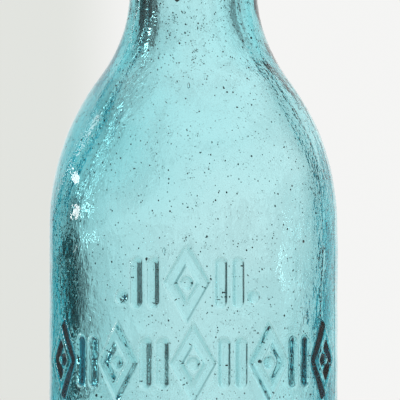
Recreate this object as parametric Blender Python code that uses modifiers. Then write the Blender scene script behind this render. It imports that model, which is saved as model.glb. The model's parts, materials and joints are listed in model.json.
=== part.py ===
"""Blob top soda bottle with a wire swing stopper, standing open.

Metres, +Z up, with the origin at the centre of the flat base. The bottle is one thick turned
vessel. Its stopper hangs from a wire bail, the bail from a wire lever, and the lever from a wire
tied round the neck under the lip. The lever stands open at the front, towards -Y, and the bail
leans back towards +Y, so the mouth is free.
"""

import math

import bmesh
import bpy
from mathutils import Vector

# Outside of the bottle, from the base up
BODY_RADIUS = 0.0320
HEEL_ROUND = 0.0060
BODY_HEIGHT = 0.0888
SHOULDER_ROUND = 0.0535
NECK_SWEEP = 0.0339
NECK_RADIUS = 0.0142
NECK_TAPER_DEG = 3.65
NECK_LENGTH = 0.0210
BLOB_HEIGHT = 0.0195
BLOB_OVERHANG = 0.0036
BLOB_LEDGE = 0.0002
BLOB_CROWN = 0.0062

# Inside of the bottle
BODY_WALL = 0.0044
BASE_THICKNESS = 0.0080
INNER_HEEL_ROUND = 0.0130
INNER_SWEEP = 0.0380
NECK_WALL = 0.0040
THROAT_RADIUS = 0.0070
MOUTH_FLARE = 0.0010
MOUTH_DEPTH = 0.0180
MOUTH_ROUND = 0.0015
LIP_LAND_SHARE = 0.2

# Room between pieces that touch or turn on each other, and past the blob's side
GAP = 0.0003
SIDE_CLEARANCE = 0.0009

# Wire tied round the neck
TIE_WIRE_RADIUS = 0.0008
TIE_DROP = 0.0022
STUB_SHARE = 0.9
TAIL_LENGTH = 0.0085
TAIL_TWISTS = 2.0
TAIL_LAY_SHARE = 0.7
TAIL_FROM_DEG = -100.0
TAIL_FLARE_DEG = 40.0

# Lever
LEVER_WIRE_RADIUS = 0.00115
LEVER_CRANK = 0.0052
OVER_CENTRE_DEG = 14.0
PIN_OVERHANG = 0.0006
WIRE_BEND = 0.0020
HANDLE_DROP = 0.0270
HANDLE_CLEARANCE = 0.0028
HANDLE_HALF_WIDTH = 0.0072
HANDLE_SPREAD = 0.0026
HANDLE_BEND = 0.0045
THUMB_KICK = 0.0034
THUMB_DROP = 0.0026

# Bail
BAIL_WIRE_RADIUS = 0.00115
BAIL_SIDE_ROOM = 0.0045
BAIL_LEG_BEND = 0.0080
BAIL_CROWN_BEND = 0.0032

# Stopper, from the eye down
EYE_WIRE_RADIUS = 0.0010
STEM_RADIUS = 0.0013
STEM_RISE = 0.0098
CAP_RADIUS = 0.0100
CAP_THICKNESS = 0.0022
CAP_EDGE = 0.0008
CAP_BOSS_RADIUS = 0.0034
PLUG_FLANGE_RADIUS = 0.0098
PLUG_FLANGE = 0.0027
PLUG_DEPTH = 0.0032
PLUG_SEAT_CLEARANCE = 0.0004
PLUG_TAPER = 0.0012
PLUG_EDGE_ROUND = 0.0009
WASHER_RADIUS = 0.0045
WASHER_THICKNESS = 0.0007
RIVET_RADIUS = 0.0026
RIVET_HEIGHT = 0.0010

# How the closure stands when open: lever raised from closed, bail leant back from upright
LEVER_OPEN_DEG = 100.0
BAIL_LEAN_DEG = 77.0

# Fineness
BOTTLE_STEPS = 44
STOPPER_STEPS = 24
ARC_STEPS = 7
BEND_STEPS = 5
RING_STEPS = 20
TUBE_SIDES = 8
TWIST_STEPS = 12
MERGE_DISTANCE = 0.000002

UP = Vector((0.0, 0.0, 1.0))


def arc(centre, radius, start, end, steps=ARC_STEPS, rise=None):
    """Points (radius, height) along an arc, or along an ellipse whose upright half axis is rise."""
    rise = radius if rise is None else rise
    angles = [start + (end - start) * i / steps for i in range(steps + 1)]
    return [(centre[0] + radius * math.cos(a), centre[1] + rise * math.sin(a)) for a in angles]


def ogee(body_radius, convex, concave, neck_radius, taper):
    """Points up a shoulder, from the top of the body's wall to the foot of the neck.

    One arc bulges from the wall, and another of the opposite sense ends along the neck's taper.
    """
    convex_centre = (body_radius - convex, BODY_HEIGHT)
    across = neck_radius + concave * math.cos(taper) - convex_centre[0]
    up = math.sqrt((convex + concave) ** 2 - across ** 2)
    concave_centre = (convex_centre[0] + across, convex_centre[1] + up)
    turn = math.atan2(up, across)
    lower = arc(convex_centre, convex, 0.0, turn)
    upper = arc(concave_centre, concave, math.pi + turn, math.pi + taper)
    return lower + upper[1:]


def radius_at(outline, height):
    """Radius of an outline that climbs from point to point, at a height."""
    for (low_radius, low), (high_radius, high) in zip(outline, outline[1:]):
        if low <= height <= high:
            return low_radius + (high_radius - low_radius) * (height - low) / (high - low)
    return outline[-1][0]


# Heights and radii that follow from the sizes above
NECK_TAPER = math.radians(NECK_TAPER_DEG)
SHOULDER = ogee(BODY_RADIUS, SHOULDER_ROUND, NECK_SWEEP, NECK_RADIUS, NECK_TAPER)
BLOB_FOOT = SHOULDER[-1][1] + NECK_LENGTH
NECK_TOP_RADIUS = NECK_RADIUS - NECK_LENGTH * math.tan(NECK_TAPER)
OUTLINE = SHOULDER + [(NECK_TOP_RADIUS, BLOB_FOOT)]
BLOB_RADIUS = NECK_TOP_RADIUS + BLOB_OVERHANG
LIP_TOP = BLOB_FOOT + BLOB_HEIGHT
BORE_RADIUS = NECK_RADIUS - NECK_WALL
MOUTH_RADIUS = THROAT_RADIUS + MOUTH_FLARE
MOUTH_RIM = MOUTH_RADIUS + MOUTH_ROUND
LAND_RADIUS = MOUTH_RIM + LIP_LAND_SHARE * (BLOB_RADIUS - MOUTH_RIM)

TIE_HEIGHT = BLOB_FOOT - TIE_DROP
TIE_RADIUS = radius_at(OUTLINE, TIE_HEIGHT) + GAP + TIE_WIRE_RADIUS
TIE_EYE_RADIUS = LEVER_WIRE_RADIUS + GAP + TIE_WIRE_RADIUS
PIVOT_HEIGHT = TIE_HEIGHT - TIE_EYE_RADIUS
LEVER_SIDE = BLOB_RADIUS + SIDE_CLEARANCE + LEVER_WIRE_RADIUS
TIE_EYE_SIDE = LEVER_SIDE - LEVER_WIRE_RADIUS - GAP - TIE_WIRE_RADIUS
LEVER_EYE_RADIUS = BAIL_WIRE_RADIUS + GAP + LEVER_WIRE_RADIUS
BAIL_SIDE = LEVER_SIDE + LEVER_WIRE_RADIUS + GAP + BAIL_WIRE_RADIUS

OVER_CENTRE = math.radians(OVER_CENTRE_DEG)
CRANK_BACK = LEVER_CRANK * math.sin(OVER_CENTRE)
CRANK_DOWN = LEVER_CRANK * math.cos(OVER_CENTRE)
BAR_RISE = STEM_RISE + CAP_THICKNESS + GAP + PLUG_FLANGE + GAP
BAR_ABOVE_CRANK = LIP_TOP + BAR_RISE - (PIVOT_HEIGHT - CRANK_DOWN)
BAIL_TILT = math.atan2(CRANK_BACK, BAR_ABOVE_CRANK)
BAIL_LENGTH = math.hypot(CRANK_BACK, BAR_ABOVE_CRANK)
LEVER_OPEN = math.radians(LEVER_OPEN_DEG)
BAIL_LEAN = math.radians(BAIL_LEAN_DEG)


def collection(name):
    """A new collection in the scene."""
    made = bpy.data.collections.new(name)
    bpy.context.scene.collection.children.link(made)
    return made


def material(name, colour, roughness, metallic=0.0, transmission=0.0):
    """A Principled material."""
    made = bpy.data.materials.new(name)
    made.use_nodes = True
    shader = made.node_tree.nodes["Principled BSDF"]
    shader.inputs["Base Color"].default_value = (*colour, 1.0)
    shader.inputs["Roughness"].default_value = roughness
    shader.inputs["Metallic"].default_value = metallic
    shader.inputs["Transmission Weight"].default_value = transmission
    made.diffuse_color = (*colour, 1.0)
    return made


def pivot(name, group, location, turn, parent=None):
    """An empty on a joint's axis, turned about X from the closed closure."""
    empty = bpy.data.objects.new(name, None)
    empty.empty_display_size = LEVER_CRANK
    empty.location = location
    empty.rotation_euler.x = turn
    empty.parent = parent
    group.objects.link(empty)
    return empty


def place(made, group, finish, parent):
    """Put an object in its one collection, with its material and parent."""
    for old in list(made.users_collection):
        old.objects.unlink(made)
    group.objects.link(made)
    made.parent = parent
    if finish is not None:
        made.data.materials.clear()
        made.data.materials.append(finish)
    return made


def turned(name, profile, steps, closed, group, finish, parent=None):
    """A solid turned about Z from (radius, height) points that run down its outer side."""
    mesh = bpy.data.meshes.new(name)
    count = len(profile)
    edges = [(i, i + 1) for i in range(count - 1)]
    if closed:
        edges.append((count - 1, 0))
    mesh.from_pydata([(radius, 0.0, height) for radius, height in profile], edges, [])
    made = place(bpy.data.objects.new(name, mesh), group, finish, parent)
    screw = made.modifiers.new("turn", "SCREW")
    screw.axis = "Z"
    screw.steps = steps
    screw.render_steps = steps
    screw.use_merge_vertices = True
    screw.merge_threshold = MERGE_DISTANCE
    screw.use_smooth_shade = True
    return made


def wire(name, points, radius, group, finish, parent=None):
    """A round wire along points, with closed ends."""
    curve = bpy.data.curves.new(name, "CURVE")
    curve.dimensions = "3D"
    curve.bevel_depth = radius
    curve.bevel_resolution = TUBE_SIDES // 2 - 2
    curve.use_fill_caps = True
    spline = curve.splines.new("POLY")
    spline.points.add(len(points) - 1)
    for spot, point in zip(spline.points, points):
        spot.co = (*point, 1.0)
    return place(bpy.data.objects.new(name, curve), group, finish, parent)


def as_mesh(tube):
    """The same wire as a mesh with its caps welded, so that other shapes can join it."""
    bpy.context.view_layer.update()
    graph = bpy.context.evaluated_depsgraph_get()
    mesh = bpy.data.meshes.new_from_object(tube.evaluated_get(graph))
    shape = bmesh.new()
    shape.from_mesh(mesh)
    bmesh.ops.remove_doubles(shape, verts=shape.verts, dist=MERGE_DISTANCE)
    shape.to_mesh(mesh)
    shape.free()
    mesh.shade_smooth()
    made = bpy.data.objects.new(tube.name + "_mesh", mesh)
    tube.users_collection[0].objects.link(made)
    made.parent = tube.parent
    made.matrix_world = tube.matrix_world
    name = tube.name
    bpy.data.objects.remove(tube)
    made.name = name
    return made


def ring(name, major, minor, centre, across, group, finish=None, parent=None):
    """A torus round Z, or round X if it stands across the bottle's side."""
    bpy.ops.mesh.primitive_torus_add(
        major_segments=BOTTLE_STEPS if not across else RING_STEPS,
        minor_segments=TUBE_SIDES,
        major_radius=major,
        minor_radius=minor,
        location=centre,
        rotation=(0.0, math.pi / 2 if across else 0.0, 0.0),
    )
    made = bpy.context.object
    made.name = name
    made.data.shade_smooth()
    return place(made, group, finish, parent)


def fuse(body, pieces, cutters):
    """Join pieces to a body, weld the slivers along the joins, and keep the pieces as hidden guides."""
    for piece in pieces:
        place(piece, cutters, None, piece.parent)
        piece.hide_render = True
        piece.display_type = "WIRE"
        union = body.modifiers.new("join_" + piece.name, "BOOLEAN")
        union.operation = "UNION"
        union.solver = "EXACT"
        union.object = piece
    weld = body.modifiers.new("weld", "WELD")
    weld.merge_threshold = MERGE_DISTANCE


def rounded(corners, bends):
    """Points along straight runs between corners, with each inner corner bent to its radius."""
    points = [corners[0]]
    for before, corner, after, bend in zip(corners, corners[1:], corners[2:], bends):
        back = (before - corner).normalized()
        ahead = (after - corner).normalized()
        half = back.angle(ahead) / 2
        middle = corner + (back + ahead).normalized() * bend / math.sin(half)
        first = corner + back * bend / math.tan(half) - middle
        last = corner + ahead * bend / math.tan(half) - middle
        sweep = math.pi - 2 * half
        for i in range(BEND_STEPS + 1):
            share = i / BEND_STEPS
            near = math.sin((1 - share) * sweep) / math.sin(sweep)
            far = math.sin(share * sweep) / math.sin(sweep)
            points.append(middle + first * near + last * far)
    points.append(corners[-1])
    return points


def both_sides(half_corners, half_bends):
    """Corners and bends of a wire that is alike on both sides of the YZ plane."""
    mirrored = [Vector((-corner.x, corner.y, corner.z)) for corner in reversed(half_corners)]
    return half_corners + mirrored, half_bends + list(reversed(half_bends))


def bottle_profile():
    """The vessel's outline, up its inner side, over the lip and down its outer side."""
    inner_radius = BODY_RADIUS - BODY_WALL
    quarter = math.pi / 2
    inner_heel = (inner_radius - INNER_HEEL_ROUND, BASE_THICKNESS + INNER_HEEL_ROUND)
    mouth_edge = (MOUTH_RIM, LIP_TOP - MOUTH_ROUND)
    land = (LAND_RADIUS, LIP_TOP - BLOB_CROWN)
    under = BLOB_OVERHANG - BLOB_LEDGE
    under_centre = (BLOB_RADIUS - under, BLOB_FOOT + under)
    heel = (BODY_RADIUS - HEEL_ROUND, HEEL_ROUND)

    profile = [(0.0, BASE_THICKNESS)]
    profile += arc(inner_heel, INNER_HEEL_ROUND, -quarter, 0.0)
    profile += ogee(inner_radius, SHOULDER_ROUND - BODY_WALL, INNER_SWEEP, BORE_RADIUS, NECK_TAPER)
    profile += [(THROAT_RADIUS, LIP_TOP - MOUTH_DEPTH)]
    profile += arc(mouth_edge, MOUTH_ROUND, math.pi, quarter, BEND_STEPS)
    profile += arc(land, BLOB_RADIUS - LAND_RADIUS, quarter, 0.0, rise=BLOB_CROWN)
    profile += arc(under_centre, under, 0.0, -quarter, BEND_STEPS)
    profile += reversed(OUTLINE)
    profile += arc(heel, HEEL_ROUND, 0.0, -quarter)
    profile += [(0.0, 0.0)]
    return profile


def make_bottle(group):
    """Thick-walled glass vessel with its applied blob lip fused on."""
    glass = material("aqua_glass", (0.50, 0.78, 0.78), 0.04, transmission=1.0)
    turned("bottle", bottle_profile(), BOTTLE_STEPS, False, group, glass)


def twisted_tail(name, phase, group, finish):
    """One of the two wire ends that are twisted together, leaving the neck ring at the front."""
    start = math.radians(TAIL_FROM_DEG)
    heading = start + math.pi / 2 - math.radians(TAIL_FLARE_DEG)
    origin = Vector((TIE_RADIUS * math.cos(start), TIE_RADIUS * math.sin(start), TIE_HEIGHT))
    along = Vector((math.cos(heading), math.sin(heading), 0.0))
    outward = along.cross(UP)
    lay = TIE_WIRE_RADIUS * TAIL_LAY_SHARE
    count = int(TAIL_TWISTS * TWIST_STEPS)
    points = []
    for i in range(count + 1):
        turn = phase + 2 * math.pi * i / TWIST_STEPS
        twist = outward * math.cos(turn) + UP * math.sin(turn)
        points.append(origin + along * TAIL_LENGTH * i / count + twist * lay)
    return as_mesh(wire(name, points, TIE_WIRE_RADIUS, group, finish))


def make_tie_wire(group, cutters):
    """Wire round the neck with an eye at each side for the lever, and its ends twisted."""
    iron = material("dark_iron_wire", (0.16, 0.14, 0.12), 0.55, metallic=1.0)
    body = ring("tie_wire", TIE_RADIUS, TIE_WIRE_RADIUS, (0.0, 0.0, TIE_HEIGHT), False, group, iron)
    pieces = []
    for side, label in ((1, "right"), (-1, "left")):
        centre = (side * TIE_EYE_SIDE, 0.0, PIVOT_HEIGHT)
        pieces.append(ring("tie_eye_" + label, TIE_EYE_RADIUS, TIE_WIRE_RADIUS, centre, True, cutters))
        start = Vector((side * TIE_RADIUS, 0.0, TIE_HEIGHT))
        end = Vector((side * TIE_EYE_SIDE, 0.0, TIE_HEIGHT))
        stub = wire("tie_stub_" + label, [start, end], TIE_WIRE_RADIUS * STUB_SHARE, cutters, None)
        pieces.append(as_mesh(stub))
    for phase, label in ((0.0, "outer"), (math.pi, "inner")):
        pieces.append(twisted_tail("tie_tail_" + label, phase, cutters, None))
    fuse(body, pieces, cutters)


def make_lever(group, cutters, hinge):
    """Bent wire lever: pins in the neck wire's eyes, eyes for the bail, and a thumb bar."""
    tinned = material("tinned_lever_wire", (0.42, 0.41, 0.39), 0.42, metallic=1.0)
    handle_height = PIVOT_HEIGHT - HANDLE_DROP
    handle_front = -(radius_at(OUTLINE, handle_height) + LEVER_WIRE_RADIUS + HANDLE_CLEARANCE)
    half = [
        Vector((TIE_EYE_SIDE - TIE_WIRE_RADIUS - PIN_OVERHANG, 0.0, 0.0)),
        Vector((LEVER_SIDE, 0.0, 0.0)),
        Vector((LEVER_SIDE, CRANK_BACK - LEVER_EYE_RADIUS, -CRANK_DOWN)),
        Vector((HANDLE_HALF_WIDTH + HANDLE_SPREAD, handle_front, -HANDLE_DROP)),
        Vector((HANDLE_HALF_WIDTH, handle_front - THUMB_KICK, -HANDLE_DROP - THUMB_DROP)),
    ]
    bends = [WIRE_BEND, WIRE_BEND, HANDLE_BEND, WIRE_BEND]
    path = rounded(*both_sides(half, bends))
    body = as_mesh(wire("lever", path, LEVER_WIRE_RADIUS, group, tinned, hinge))
    eyes = []
    for side, label in ((1, "right"), (-1, "left")):
        centre = (side * LEVER_SIDE, CRANK_BACK, -CRANK_DOWN)
        eyes.append(ring("lever_eye_" + label, LEVER_EYE_RADIUS, LEVER_WIRE_RADIUS, centre, True, cutters,
                         parent=hinge))
    fuse(body, eyes, cutters)


def make_bail(group, hinge):
    """Wire bail: pins in the lever's eyes, legs that pass the blob, and a bar over the stopper."""
    tinned = material("tinned_bail_wire", (0.45, 0.44, 0.42), 0.40, metallic=1.0)
    leg_top = BAIL_LENGTH - BAR_RISE
    half = [
        Vector((LEVER_SIDE - LEVER_WIRE_RADIUS - PIN_OVERHANG, 0.0, 0.0)),
        Vector((BAIL_SIDE, 0.0, 0.0)),
        Vector((BAIL_SIDE, 0.0, leg_top)),
        Vector((CAP_RADIUS + BAIL_SIDE_ROOM, 0.0, BAIL_LENGTH)),
    ]
    bends = [WIRE_BEND, BAIL_LEG_BEND, BAIL_CROWN_BEND]
    wire("bail", rounded(*both_sides(half, bends)), BAIL_WIRE_RADIUS, group, tinned, hinge)


def make_stopper(group, cutters, hinge):
    """Stopper pieces on one stem, each measured down from the bail's bar."""
    pewter = material("stopper_cap_metal", (0.50, 0.49, 0.46), 0.38, metallic=1.0)
    rubber = material("red_rubber", (0.30, 0.07, 0.05), 0.75)
    brass = material("washer_metal", (0.48, 0.40, 0.26), 0.40, metallic=1.0)
    steel = material("spindle_metal", (0.40, 0.39, 0.38), 0.40, metallic=1.0)
    hole = STEM_RADIUS + GAP
    quarter = math.pi / 2

    cap_top = -STEM_RISE
    cap_foot = cap_top - CAP_THICKNESS
    rim = arc((CAP_BOSS_RADIUS, cap_foot + CAP_EDGE), CAP_RADIUS - CAP_BOSS_RADIUS, quarter, 0.0,
              BEND_STEPS, rise=CAP_THICKNESS - CAP_EDGE)
    turned("stopper_cap", [(hole, cap_top)] + rim + [(CAP_RADIUS, cap_foot), (hole, cap_foot)],
           STOPPER_STEPS, True, group, pewter, hinge)

    flange_top = cap_foot - GAP
    flange_foot = flange_top - PLUG_FLANGE
    plug_foot = flange_foot - PLUG_DEPTH
    seat = MOUTH_RADIUS - PLUG_SEAT_CLEARANCE
    edge = arc((PLUG_FLANGE_RADIUS - PLUG_EDGE_ROUND, flange_foot + PLUG_EDGE_ROUND), PLUG_EDGE_ROUND,
               0.0, -quarter, BEND_STEPS)
    toe = arc((seat - PLUG_TAPER - PLUG_EDGE_ROUND, plug_foot + PLUG_EDGE_ROUND), PLUG_EDGE_ROUND,
              0.0, -quarter, BEND_STEPS)
    plug = [(hole, flange_top), (PLUG_FLANGE_RADIUS, flange_top)] + edge
    plug += [(seat, flange_foot)] + toe + [(hole, plug_foot)]
    turned("rubber_plug", plug, STOPPER_STEPS, True, group, rubber, hinge)

    washer_top = plug_foot - GAP
    washer_foot = washer_top - WASHER_THICKNESS
    washer = [(hole, washer_top), (WASHER_RADIUS, washer_top), (WASHER_RADIUS, washer_foot)]
    washer += [(hole, washer_foot)]
    turned("foot_washer", washer, STOPPER_STEPS, True, group, brass, hinge)

    eye_radius = BAIL_WIRE_RADIUS + GAP + EYE_WIRE_RADIUS
    rivet_top = washer_foot - GAP
    dome = arc((0.0, rivet_top), RIVET_RADIUS, 0.0, -quarter, BEND_STEPS, rise=RIVET_HEIGHT)
    stem = [(0.0, -eye_radius), (STEM_RADIUS, -eye_radius), (STEM_RADIUS, rivet_top)] + dome
    body = turned("stopper_spindle", stem, STOPPER_STEPS, False, group, steel, hinge)
    eye = ring("spindle_eye", eye_radius, EYE_WIRE_RADIUS, (0.0, 0.0, 0.0), True, cutters, parent=hinge)
    fuse(body, [eye], cutters)


def build():
    """The whole bottle and its closure."""
    for old in list(bpy.data.objects):
        bpy.data.objects.remove(old)
    group = collection("blob_top_soda_bottle")
    cutters = collection("cutters")
    lever_hinge = pivot("lever_pivot", group, (0.0, 0.0, PIVOT_HEIGHT), -LEVER_OPEN)
    bail_hinge = pivot("bail_pivot", group, (0.0, CRANK_BACK, -CRANK_DOWN),
                       LEVER_OPEN - BAIL_LEAN + BAIL_TILT, lever_hinge)
    stopper_hinge = pivot("stopper_pivot", group, (0.0, 0.0, BAIL_LENGTH), BAIL_LEAN - BAIL_TILT,
                          bail_hinge)
    make_bottle(group)
    make_tie_wire(group, cutters)
    make_lever(group, cutters, lever_hinge)
    make_bail(group, bail_hinge)
    make_stopper(group, cutters, stopper_hinge)


build()
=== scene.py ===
"""Looks of a blob top soda bottle in seeded aqua glass, with its lever and bail stopper standing open."""

import json
import math

import bpy
import numpy as np
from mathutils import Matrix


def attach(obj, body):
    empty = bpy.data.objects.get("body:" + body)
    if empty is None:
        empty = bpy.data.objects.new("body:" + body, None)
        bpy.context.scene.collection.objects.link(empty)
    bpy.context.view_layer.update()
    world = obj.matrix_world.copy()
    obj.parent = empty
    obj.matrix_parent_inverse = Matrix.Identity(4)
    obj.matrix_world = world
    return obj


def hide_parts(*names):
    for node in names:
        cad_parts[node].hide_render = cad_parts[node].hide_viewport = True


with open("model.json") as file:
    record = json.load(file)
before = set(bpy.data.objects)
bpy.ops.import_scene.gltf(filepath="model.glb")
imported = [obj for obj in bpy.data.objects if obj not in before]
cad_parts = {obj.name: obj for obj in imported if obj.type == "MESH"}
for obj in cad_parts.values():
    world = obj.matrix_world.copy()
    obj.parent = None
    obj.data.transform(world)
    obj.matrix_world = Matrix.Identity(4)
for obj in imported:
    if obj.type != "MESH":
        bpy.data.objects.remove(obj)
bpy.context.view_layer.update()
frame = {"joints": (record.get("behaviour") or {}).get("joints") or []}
scene = bpy.context.scene

MM = 0.001
DEG = math.pi / 180
QUARTER = math.pi / 2
WHOLE = 2 * math.pi

# Outside of the glass
BODY_RADIUS = 32 * MM
HEEL_ROUND = 6 * MM
BODY_HEIGHT = 88.8 * MM
SHOULDER_ROUND = 53.5 * MM
NECK_SWEEP = 33.9 * MM
NECK_RADIUS = 14.2 * MM
NECK_TAPER = 3.65 * DEG
NECK_LENGTH = 21 * MM
BLOB_HEIGHT = 19.5 * MM
BLOB_OVERHANG = 3.6 * MM
BLOB_LEDGE = 0.2 * MM
BLOB_CROWN = 6.2 * MM

# Inside of the glass
BODY_WALL = 4.4 * MM
BASE_THICKNESS = 8 * MM
INNER_HEEL_ROUND = 13 * MM
INNER_SWEEP = 38 * MM
NECK_WALL = 4 * MM
THROAT_RADIUS = 7 * MM
MOUTH_RADIUS = 8 * MM
MOUTH_DEPTH = 18 * MM
MOUTH_ROUND = 1.5 * MM
LIP_LAND_SHARE = 0.2

# Wall of the hand-blown glass as (height, thickness) in millimetres, as the depth of its colour shows. The front's is
# the back's too, and the right edge has a little more
WALL_LEFT = [
    (30, 5.4), (52, 5.6), (74, 5.2), (86, 5.0), (92, 5.2), (97, 5.7), (105, 7.1), (114, 7.5), (123, 7.2), (132, 5.4),
    (140, 4.0),
]
WALL_RIGHT = [
    (30, 4.8), (52, 4.6), (74, 3.8), (86, 3.4), (97, 3.0), (105, 3.0), (114, 4.3), (123, 5.1), (132, 5.4), (140, 5.0),
    (150, 4.2), (200, 4.0),
]
WALL_FRONT = [
    (30, 4.2), (52, 4.0), (74, 3.8), (86, 3.6), (97, 4.0), (105, 4.6), (114, 5.1), (123, 5.3), (132, 4.5), (140, 4.1),
    (150, 4.0),
]
EDGE_EXTRA = [(0, 0.6), (40, 0.8), (74, 1.2), (86, 1.3), (97, 1.1), (105, 0.5), (114, 0.2), (140, 0.0)]
EDGE_POWER = 14
WALL_BLEND = 4 * MM
EVEN_FOOT = (14 * MM, 30 * MM)
EVEN_NECK = (142 * MM, 156 * MM)

# Waves of the two skins: height, number that starts the draw, most turns round and length. They are flat round the
# axis, at the foot and where the neck ends
OUTER_WAVE = (0.05 * MM, 3, 9, 22 * MM)
INNER_WAVE = (0.1 * MM, 5, 7, 24 * MM)
WAVE_COUNT = 20
FLAT_MIDDLE = (0.0, 12 * MM)
FLAT_FOOT = (0.0, 5 * MM)
FLAT_NECK = (150 * MM, 158 * MM)

# Share of the inner skin's grain on the outer skin, and along the line where cases have rubbed the shoulder
OUTER_GRAIN_SHARE = 0.5
RUB_SHARE = 5.5
RUB_ANGLE = 58.5 * DEG
RUB_HALF_WIDTH = 3.4 * DEG
RUB_LEAN = 0.9 * DEG / MM
RUB_LEAN_BELOW = 108 * MM
RUB_LEAN_DEPTH = 14 * MM
RUB_RIGHT = 0.6
RUB_FOOT = (88 * MM, 96 * MM)
RUB_HEAD = (136 * MM, 150 * MM)

# Mould seams down both sides
SEAM_ANGLE = -13.5 * DEG
SEAM_HEIGHT = 0.1 * MM
SEAM_WIDTH = 0.8 * MM
SEAM_FOOT = (6 * MM, 10 * MM)
SEAM_HEAD = (121 * MM, 125 * MM)

# Raised ornament of two bands, measured along the wall from the middle of the front
RELIEF_HEIGHT = 0.9 * MM
RELIEF_EDGE = 0.46 * MM
STROKE = 2.1 * MM
UPPER_BAND = 76.8 * MM
UPPER_MIDDLE = -1.4 * MM
UPPER_REEL_REACH = 9.2 * MM
UPPER_BEAD_REACH = 14.6 * MM
LOWER_BAND = 59.7 * MM
LOWER_PITCH = 17 * MM
LOWER_COUNT = 5
LOZENGE_HALF_WIDTH = 3.5 * MM
LOZENGE_HALF_HEIGHT = 6.2 * MM
REEL_HALF_GAP = 1.9 * MM
REEL_HALF_HEIGHT = 5.2 * MM
BEAD_RADIUS = 1.2 * MM
RELIEF_FROM = 51 * MM
RELIEF_TO = 84.4 * MM

# Grid of the glass
FRONT = -QUARTER
FRONT_SPREAD = 100 * DEG
FRONT_COLUMNS = 143
BACK_COLUMNS = 31
BAND_SPLIT = 3

# Tiny seeds, a little longer than wide, and a few larger bubbles, drawn out along the bottle: number that starts the
# draw, count, size, its spread, least and most length by width, and rows and columns of each ball
SEEDS = (11, 7600, 0.12 * MM, 0.32, (1.15, 1.15), (2, 5))
BUBBLES = (23, 26, 0.3 * MM, 0.30, (1.0, 2.2), (9, 14))
SEED_HEIGHTS = (8 * MM, 160 * MM)
SEED_DEPTHS = (0.5 * MM, 3.4 * MM)

# Room between pieces, and past the blob's side
GAP = 0.3 * MM
SIDE_CLEARANCE = 0.9 * MM

# Steps along bent wires, the domes over their cut ends, and a direction that no wire starts along
WIRE_STEP = 0.4 * MM
DOME_SHARE = 0.4
DOME_STEPS = 4
ASKEW = (0.31, 0.47, 0.83)

# Wire tied round the neck
TIE_WIRE_RADIUS = 0.8 * MM
TIE_STEP = 0.25 * MM
TIE_EASE = 0.5 * MM
TIE_DROP = 2.2 * MM
TIE_FROM, TIE_TO = -86 * DEG, 256 * DEG
TAIL_LENGTH = 8.5 * MM
TAIL_TWISTS = 2.0
TAIL_LAY_SHARE = 0.92
TAIL_FROM = -100 * DEG
TAIL_FLARE = 40 * DEG
EYE_PITCH = 1.5 * MM
EYE_SWELL = 24 * DEG

# Lever and bail
LEVER_WIRE_RADIUS = 1.15 * MM
LEVER_CRANK = 5.2 * MM
OVER_CENTRE = 14 * DEG
PIN_OVERHANG = 0.6 * MM
WIRE_BEND = 2 * MM
HANDLE_DROP = 27 * MM
HANDLE_CLEARANCE = 2.8 * MM
HANDLE_HALF_WIDTH = 7.2 * MM
HANDLE_SPREAD = 2.6 * MM
HANDLE_BEND = 4.5 * MM
THUMB_KICK = 3.4 * MM
THUMB_DROP = 2.6 * MM
BAIL_WIRE_RADIUS = 1.15 * MM
BAIL_SIDE_ROOM = 4.5 * MM
BAIL_LEG_BEND = 8 * MM
BAIL_CROWN_BEND = 3.2 * MM
LEVER_OPEN = 100 * DEG
BAIL_LEAN = 77 * DEG

# Stopper, from the eye down
EYE_WIRE_RADIUS = 1 * MM
STEM_RADIUS = 1.3 * MM
STEM_RISE = 9.8 * MM
CAP_RADIUS = 10 * MM
CAP_THICKNESS = 2.2 * MM
CAP_EDGE = 0.8 * MM
CAP_EDGE_ROUND = 0.3 * MM
CAP_HOLE_BEVEL = 0.25 * MM
CAP_BOSS_RADIUS = 3.4 * MM
CAP_GROOVES = [(0.86 * CAP_RADIUS, 0.16 * MM, 0.45 * MM), (1.25 * CAP_BOSS_RADIUS, 0.12 * MM, 0.4 * MM)]
PLUG_FLANGE_RADIUS = 9.8 * MM
PLUG_FLANGE = 2.7 * MM
PLUG_DEPTH = 3.2 * MM
PLUG_SEAT_CLEARANCE = 0.4 * MM
PLUG_TAPER = 1.2 * MM
PLUG_EDGE_ROUND = 0.9 * MM
PLUG_RING_SHARES = (0.36, 0.64)
PLUG_RING = (0.1 * MM, 0.22 * MM)
WASHER_RADIUS = 4.5 * MM
WASHER_THICKNESS = 0.7 * MM
RIVET_RADIUS = 2.6 * MM
RIVET_HEIGHT = 1 * MM
RIVET_NECK = 0.15 * MM

# Skin of the glass as (scale, height) of its bumps, how far it bends light, and its colour by depth
SKIN_BROAD = (170.0, 0.1 * MM)
SKIN_RIPPLE = (560.0, 0.055 * MM)
SKIN_GRAIN = (1600.0, 0.03 * MM)
GLASS_BEND = 1.52
GLASS_COLOUR = (0.232, 0.835, 0.878, 1)
GLASS_DENSITY = 119.0
BUBBLE_BEND = 1.35
CLEAR = {"Base Color": (1, 1, 1, 1), "Transmission Weight": 1.0}

# Floor, with the hair of air under the glass that a table leaves
FLOOR_RADIUS = 780 * MM
FLOOR_FADE_SHARE = 0.45
FLOOR_RINGS = 8
FLOOR_COLUMNS = 64
FLOOR_GAP = 0.1 * MM

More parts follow.
